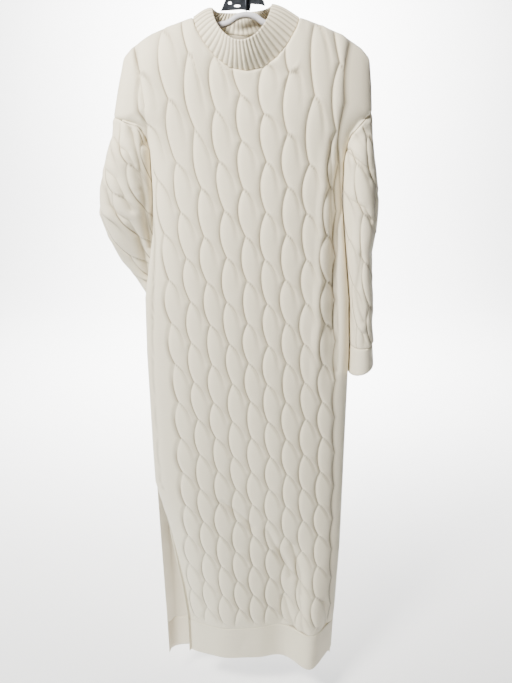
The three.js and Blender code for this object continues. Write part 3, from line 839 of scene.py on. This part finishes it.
def steel_material(name, colour):
    material, shader, root = new_material(name)
    coords = root.node("ShaderNodeTexCoord", output=3)
    grain = root.node("ShaderNodeTexNoise", Vector=coords, Scale=160.0, Detail=3.0)
    root.feed(shader.inputs["Base Color"], (grain * 0.5).mix(colour, (0.10, 0.11, 0.13, 1)))
    root.feed(shader.inputs["Roughness"], grain * 0.2 + 0.28)
    shader.inputs["Metallic"].default_value = 0.85
    return material


def clear_material(name, colour):
    material, shader, root = new_material(name)
    coords = root.node("ShaderNodeTexCoord", output=3)
    cloud = root.node("ShaderNodeTexNoise", Vector=coords, Scale=30.0, Detail=2.0)
    root.feed(shader.inputs["Base Color"], cloud.mix(colour, (0.60, 0.60, 0.66, 1)))
    root.feed(shader.inputs["Roughness"], cloud * 0.1 + 0.12)
    shader.inputs["Coat Weight"].default_value = 0.6
    return material


def rod(name, path, radius, sides=24):
    """A round bar with domed ends along a smooth path of points, in millimetres."""
    path = np.array(path, float)
    keys = np.linspace(0, 1, len(path))
    fine = np.linspace(0, 1, (len(path) - 1) * 8 + 1)
    curve = catmull(path, keys, fine)
    tangent = np.gradient(curve, axis=0)
    tangent /= np.linalg.norm(tangent, axis=1, keepdims=True)
    side = np.array([0.0, 1.0, 0.0])
    up = np.cross(tangent, side)
    turn = np.arange(sides) * 2 * math.pi / sides
    sizes = np.full(len(curve), radius)
    dome = np.array([0.35, 0.72, 0.93])
    sizes[:3] *= dome
    sizes[-3:] *= dome[::-1]
    rings = (
        curve[:, None, :]
        + sizes[:, None, None] * np.cos(turn)[None, :, None] * up[:, None, :]
        + sizes[:, None, None] * np.sin(turn)[None, :, None] * side
    )
    ids, quads = grid_faces(len(curve), sides, True, 0, True)
    points = rings.reshape(-1, 3)
    caps = []
    for ring, centre, flip in ((ids[0], curve[0], False), (ids[-1], curve[-1], True)):
        points = np.concatenate([points, centre[None, :]])
        middle = len(points) - 1
        for i in range(sides):
            face = (ring[i], ring[i + 1], middle)
            caps.append(face[::-1] if flip else face)
    return make_mesh(name, points / METRE, [quads], caps, None)


def catmull(path, keys, fine):
    slopes = np.gradient(path, keys, axis=0)
    place = np.clip(np.searchsorted(keys, fine, side="right") - 1, 0, len(keys) - 2)
    step = keys[place + 1] - keys[place]
    t = ((fine - keys[place]) / step)[:, None]
    step = step[:, None]
    return (
        (2 * t**3 - 3 * t**2 + 1) * path[place]
        + (t**3 - 2 * t**2 + t) * step * slopes[place]
        + (-2 * t**3 + 3 * t**2) * path[place + 1]
        + (t**3 - t**2) * step * slopes[place + 1]
    )


def finish_piece(piece, material, nodes):
    piece.data.materials.append(material)
    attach(piece, "root")
    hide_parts(*nodes)


def shared_material(key, make):
    found = bpy.data.materials.get(key)
    return found if found else make()


def yarn_material(colours):
    return shared_material("Cream knit", lambda: knit_material("Cream knit", colours, 2.6, 2.2))


class DressSizes(bpy.types.PropertyGroup):
    """Sizes of the knit."""

    wall: bpy.props.FloatProperty(
        name="Cloth thickness",
        description="Thickness of the knitted cloth, in millimetres",
        default=2.0,
        min=1.0,
        max=3.0,
    )
    cable_height: bpy.props.FloatProperty(
        name="Cable height",
        description="How far the cable strands stand up, in millimetres",
        default=4.6,
        min=0.0,
        max=6.0,
    )
    rib_height: bpy.props.FloatProperty(
        name="Rib height",
        description="How far the collar's ribs stand up, in millimetres",
        default=1.4,
        min=0.0,
        max=3.0,
    )


class DressColours(bpy.types.PropertyGroup):
    """Colours of the yarn and the hanger."""

    yarn: bpy.props.FloatVectorProperty(
        name="Yarn", description="Main colour of the yarn", subtype="COLOR", size=4,
        default=(0.86, 0.79, 0.62, 1), min=0, max=1,
    )
    yarn_shade: bpy.props.FloatVectorProperty(
        name="Yarn shade", description="Darker fleck of the yarn", subtype="COLOR", size=4,
        default=(0.77, 0.70, 0.53, 1), min=0, max=1,
    )
    # Warmer patches of the yarn, also the tint of the painted light shining through the cloth on the
    # inner faces
    warm_patch_and_backlight: bpy.props.FloatVectorProperty(
        name="Yarn warm", description="Warmer patches of the yarn", subtype="COLOR", size=4,
        default=(0.83, 0.73, 0.56, 1), min=0, max=1,
    )
    yarn_light: bpy.props.FloatVectorProperty(
        name="Yarn light", description="Light on the stitches", subtype="COLOR", size=4,
        default=(0.93, 0.88, 0.75, 1), min=0, max=1,
    )
    # Colour of the painted shade along the grooves, in the creases and between the collar's ribs
    groove: bpy.props.FloatVectorProperty(
        name="Groove", description="Colour deep between the strands", subtype="COLOR", size=4,
        default=(0.24, 0.19, 0.12, 1), min=0, max=1,
    )
    steel: bpy.props.FloatVectorProperty(
        name="Steel", description="Colour of the hook and plate", subtype="COLOR", size=4,
        default=(0.035, 0.04, 0.05, 1), min=0, max=1,
    )
    clear: bpy.props.FloatVectorProperty(
        name="Arms", description="Colour of the hanger's arms", subtype="COLOR", size=4,
        default=(0.72, 0.71, 0.76, 1), min=0, max=1,
    )


def panel_piece(name, front, sizes):
    bottom = BAND_TOP if front else BAND_TOP - BACK_DROP
    levels = np.linspace(TOP_LEVEL, bottom, PANEL_ROWS)
    shares, height, shade = panel_cloth(levels, front)
    level = levels[:, None]
    plain = body_form(shares, level * np.ones_like(shares), front, sizes.wall)
    ends = smooth((level - bottom) / PANEL_END_FADE)
    ends = ends * smooth((TOP_LEVEL - level) / SHOULDER_SEAM_FADE)
    facing = 1 if front else -1
    height = height * ends * sizes.cable_height
    shade = shade * ends
    if front:
        depth, crease_shade = crease_field(plain[..., 0], plain[..., 2], FRONT_CREASES)
        nearest = -(SEAM_GAP + sizes.wall / 2)
        plain[..., 1] = np.minimum(plain[..., 1] + depth, nearest)
        shade = np.maximum(shade, crease_shade)
    return cloth_shell(name, plain, height, shade, (4, 4), sizes.wall, facing)


class DRESS_OT_front_panel(bpy.types.Operator):
    """Make the cabled front panel"""

    bl_idname = "dress.front_panel"
    bl_label = "Front panel"

    def execute(self, context):
        sizes, colours = context.scene.dress_sizes, context.scene.dress_colours
        piece = panel_piece("front_panel_knit", True, sizes)
        finish_piece(piece, yarn_material(colours), ["front_panel"])
        return {"FINISHED"}


class DRESS_OT_back_panel(bpy.types.Operator):
    """Make the cabled back panel"""

    bl_idname = "dress.back_panel"
    bl_label = "Back panel"

    def execute(self, context):
        sizes, colours = context.scene.dress_sizes, context.scene.dress_colours
        piece = panel_piece("back_panel_knit", False, sizes)
        finish_piece(piece, yarn_material(colours), ["back_panel"])
        return {"FINISHED"}


class DRESS_OT_hem_bands(bpy.types.Operator):
    """Make the plain hem bands of the front and the back"""

    bl_idname = "dress.hem_bands"
    bl_label = "Hem bands"

    def execute(self, context):
        sizes, colours = context.scene.dress_sizes, context.scene.dress_colours
        for name, front, top, panel in (
            ("front_hem_band_knit", True, BAND_TOP, "front_panel_knit"),
            ("back_hem_band_knit", False, BAND_TOP - BACK_DROP, "back_panel_knit"),
        ):
            levels = np.linspace(top - SEAM_GAP, top - BAND_HEIGHT, BAND_ROWS)[:, None]
            shares = np.linspace(-1, 1, BAND_COLUMNS)[None, :] * np.ones_like(levels)
            plain = body_form(shares, levels * np.ones_like(shares), front, sizes.wall)
            height = BAND_PUFF * (1 + 0.3 * np.sin(shares * 19 + levels / 14))
            facing = 1 if front else -1
            shade = np.zeros_like(height)
            piece = cloth_shell(name, plain, height, shade, (4, 4), sizes.wall, facing)
            finish_piece(piece, yarn_material(colours), [name[:-5]])
        return {"FINISHED"}


class DRESS_OT_collar(bpy.types.Operator):
    """Make the ribbed mock-neck collar"""

    bl_idname = "dress.collar"
    bl_label = "Collar"

    def execute(self, context):
        sizes, colours = context.scene.dress_sizes, context.scene.dress_colours
        turn = np.arange(COLLAR_RIBS * RIB_COLUMNS) * 2 * math.pi / (COLLAR_RIBS * RIB_COLUMNS)
        share, turn = np.meshgrid(np.linspace(1, 0, COLLAR_ROWS), turn, indexing="ij")
        plain = collar_form(turn + math.pi, share, sizes.wall)
        wave = 0.5 + 0.5 * np.cos(turn * COLLAR_RIBS)
        height = sizes.rib_height * wave**0.7 * smooth((1 - share) / 0.04)
        shade = 0.75 * (1 - wave) ** 3
        piece = cloth_shell(
            "collar_knit", plain, height, shade, (2, 1), sizes.wall, 1, True, inside=0.8
        )
        finish_piece(piece, yarn_material(colours), ["collar"])
        return {"FINISHED"}


def sleeve_turn(run, side):
    """The turn round a sleeve at a run that goes to the right over its front."""
    turn = 2 * math.pi * run / SLEEVE_GIRTH
    return turn if side < 0 else math.pi - turn


def sleeve_piece(name, table, top, bottom, sizes):
    """A cabled sleeve: its grooves lean to the right as they run down."""
    side = float(np.sign(table.columns["x"][0]))
    z = np.linspace(top, bottom, SLEEVE_ROWS)[:, None]
    index = np.arange(SLEEVE_CABLES + 1)[None, :]
    lean = SLEEVE_LEAN[0] if side < 0 else SLEEVE_LEAN[1]
    lines = index * SLEEVE_GIRTH / SLEEVE_CABLES + lean * (top - z) + 2 * np.sin(z / 37)
    turning = np.mod(index, SLEEVE_CABLES)
    places, drops = groove_places(z + 6 * np.cos(turning * 1.05), turning, lines)
    run, height, shade = cable_cells(places, lines, drops)
    turn = sleeve_turn(run, side)
    plain = sleeve_form(table, turn, z * np.ones_like(run), sizes.wall)
    ends = smooth((top - z) / SLEEVE_TOP_FADE) * smooth((z - bottom) / WRIST_FADE)
    flat = ends * (1 - smooth((-np.cos(turn) - 0.5) / 0.3))
    creases = LEFT_SLEEVE_CREASES if side < 0 else RIGHT_SLEEVE_CREASES
    depth, crease_shade = crease_field(plain[..., 0], plain[..., 2], creases)
    ahead = np.maximum(np.sin(turn), 0) * ends
    plain[..., 1] += depth * ahead
    height = height * sizes.cable_height * SLEEVE_RELIEF * flat
    shade = np.maximum(shade * ends, crease_shade * (ahead > 0.2))
    return cloth_shell(name, plain, height, shade, (4, 4), sizes.wall, 1, True)


def cuff_piece(name, table, top, bottom, sizes):
    side = float(np.sign(table.columns["x"][0]))
    z = np.linspace(top, bottom, CUFF_ROWS)[:, None]
    run = np.arange(CUFF_COLUMNS)[None, :] * SLEEVE_GIRTH / CUFF_COLUMNS * np.ones_like(z)
    plain = sleeve_form(table, sleeve_turn(run, side), z * np.ones_like(run), sizes.wall)
    height = np.full_like(run, BAND_PUFF)
    return cloth_shell(name, plain, height, 0 * run, (4, 4), sizes.wall, 1, True)


class DRESS_OT_sleeves(bpy.types.Operator):
    """Make the two cabled sleeves"""

    bl_idname = "dress.sleeves"
    bl_label = "Sleeves"

    def execute(self, context):
        sizes, colours = context.scene.dress_sizes, context.scene.dress_colours
        for name, table, bottom, nodes in (
            ("left_sleeve_knit", LEFT_SLEEVE, LEFT_WRIST, ["left_sleeve"]),
            ("right_sleeve_knit", RIGHT_SLEEVE, RIGHT_WRIST, ["right_sleeve", "right_sleeve_top"]),
        ):
            piece = sleeve_piece(name, table, SLEEVE_TOP, bottom, sizes)
            finish_piece(piece, yarn_material(colours), nodes)
        return {"FINISHED"}


class DRESS_OT_cuffs(bpy.types.Operator):
    """Make the plain cuffs"""

    bl_idname = "dress.cuffs"
    bl_label = "Cuffs"

    def execute(self, context):
        sizes, colours = context.scene.dress_sizes, context.scene.dress_colours
        for name, table, top, bottom in (
            ("left_cuff_knit", LEFT_SLEEVE, LEFT_CUFF_TOP, LEFT_CUFF_END),
            ("right_cuff_knit", RIGHT_SLEEVE, RIGHT_CUFF_TOP, RIGHT_CUFF_END),
        ):
            piece = cuff_piece(name, table, top, bottom, sizes)
            finish_piece(piece, yarn_material(colours), [name[:-5]])
        return {"FINISHED"}


class DRESS_OT_hanger(bpy.types.Operator):
    """Make the hanger's round arms and hook, and finish its plate"""

    bl_idname = "dress.hanger"
    bl_label = "Hanger"

    def execute(self, context):
        colours = context.scene.dress_colours
        across = HANGER_ARM.columns["across"]
        level = HANGER_ARM.columns["level"]
        right = [(x, 0, z) for x, z in zip(across, level)]
        left = [(-x, 0, z) for x, z in zip(across[:0:-1], level[:0:-1])]
        arms = rod("hanger_arms_round", left + right, SHOULDER_BAR_RADIUS - 0.1)
        clear = clear_material("Clear plastic", colours.clear)
        finish_piece(arms, clear, ["hanger_arms"])
        reach = HOOK_INNER_RADIUS + HOOK_WIRE_RADIUS
        path = [(0, 0, -72.6), (0, 0, -52), (2, 0, -42)]
        for degrees in range(-30, 181, 30):
            angle = math.radians(degrees)
            path.append(
                (reach * math.cos(angle), 0, reach * math.sin(angle) - HOOK_INNER_RADIUS)
            )
        hook = rod("hanger_hook_round", path, HOOK_WIRE_RADIUS)
        steel = steel_material("Dark steel", colours.steel)
        finish_piece(hook, steel, ["hanger_hook"])
        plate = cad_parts["hanger_yoke"]
        plate.data.materials.clear()
        plate.data.materials.append(steel)
        return {"FINISHED"}


class DRESS_OT_stage(bpy.types.Operator):
    """Make the floor, the lights and the camera"""

    bl_idname = "dress.stage"
    bl_label = "Stage"

    def execute(self, context):
        scene = context.scene
        make_floor()
        make_world()
        make_lights()
        data = bpy.data.cameras.new("Camera")
        data.lens, data.sensor_width = CAMERA_LENS, CAMERA_SENSOR
        camera = bpy.data.objects.new("Camera", data)
        camera.location = CAMERA_PLACE
        camera.rotation_euler = (math.radians(90 - CAMERA_TILT), 0, 0)
        scene.collection.objects.link(camera)
        scene.camera = camera
        return {"FINISHED"}


FLOOR_LEVEL = -1.62


def make_floor():
    """A pale floor that curves up into a backdrop."""
    run = np.linspace(0, math.pi / 2, 12)
    bend, back, height, half = 1.2, 3.2, 3.0, 7.0
    profile = [(-4.0, FLOOR_LEVEL)]
    profile += [(back + bend * math.sin(a), FLOOR_LEVEL + bend * (1 - math.cos(a))) for a in run]
    profile.append((back + bend, FLOOR_LEVEL + bend + height))
    points = np.array([[(x, y, z) for x in (-half, half)] for y, z in profile])
    _, quads = grid_faces(len(profile), 2, False, 0, True)
    floor = make_mesh("floor", points.reshape(-1, 3), [quads], [], None)
    material, shader, root = new_material("Pale floor")
    coords = root.node("ShaderNodeTexCoord", output=3)
    cloud = root.node("ShaderNodeTexNoise", Vector=coords, Scale=2.0, Detail=2.0)
    pale = cloud.mix((0.90, 0.90, 0.90, 1), (0.93, 0.93, 0.93, 1))
    root.feed(shader.inputs["Base Color"], pale)
    shader.inputs["Roughness"].default_value = 0.9
    floor.data.materials.append(material)


def make_world():
    world = bpy.data.worlds.new("World")
    bpy.context.scene.world = world
    world.use_nodes = True
    background = world.node_tree.nodes["Background"]
    background.inputs[0].default_value = (0.97, 0.98, 1.0, 1)
    background.inputs[1].default_value = 0.13


def make_lights():
    """A key from the upper left front, a small cool lamp at the hem and a lift for the backdrop."""
    for name, place, aim, size, power, colour in (
        ("Key", (-0.9, -0.95, 0.75), (-0.1, 0.0, -0.1), 0.4, 98.0, (1.0, 0.97, 0.90)),
        ("Hem", (-0.9, -0.8, -1.25), (-0.12, 0.0, -1.45), 0.35, 7.0, (0.82, 0.94, 1.0)),
        ("Backdrop", (0.0, 1.9, 1.2), (0.0, 4.4, -0.9), 2.4, 1050.0, (1.0, 1.0, 1.0)),
    ):
        data = bpy.data.lights.new(name, "AREA")
        data.size, data.energy, data.color = size, power, colour
        lamp = bpy.data.objects.new(name, data)
        lamp.location = place
        lamp.rotation_euler = (Vector(aim) - Vector(place)).to_track_quat("-Z", "Y").to_euler()
        bpy.context.collection.objects.link(lamp)


STEPS = (
    DRESS_OT_stage,
    DRESS_OT_hanger,
    DRESS_OT_front_panel,
    DRESS_OT_back_panel,
    DRESS_OT_hem_bands,
    DRESS_OT_collar,
    DRESS_OT_sleeves,
    DRESS_OT_cuffs,
)


class DRESS_PT_panel(bpy.types.Panel):
    """Buttons for each piece of the dress"""

    bl_idname = "DRESS_PT_panel"
    bl_label = "Sweater dress"
    bl_space_type = "VIEW_3D"
    bl_region_type = "UI"
    bl_category = "Dress"

    def draw(self, context):
        for step in STEPS:
            self.layout.operator(step.bl_idname)
        for name in ("wall", "cable_height", "rib_height"):
            self.layout.prop(context.scene.dress_sizes, name)
        for name in ("yarn", "yarn_shade", "groove", "steel", "clear"):
            self.layout.prop(context.scene.dress_colours, name)


CLASSES = (DressSizes, DressColours, *STEPS, DRESS_PT_panel)


def register():
    for kind in CLASSES:
        bpy.utils.register_class(kind)
    bpy.types.Scene.dress_sizes = bpy.props.PointerProperty(type=DressSizes)
    bpy.types.Scene.dress_colours = bpy.props.PointerProperty(type=DressColours)


def unregister():
    del bpy.types.Scene.dress_sizes
    del bpy.types.Scene.dress_colours
    for kind in reversed(CLASSES):
        bpy.utils.unregister_class(kind)


def main():
    register()
    for step in STEPS:
        group, name = step.bl_idname.split(".")
        getattr(getattr(bpy.ops, group), name)()


if __name__ == "__main__":
    main()
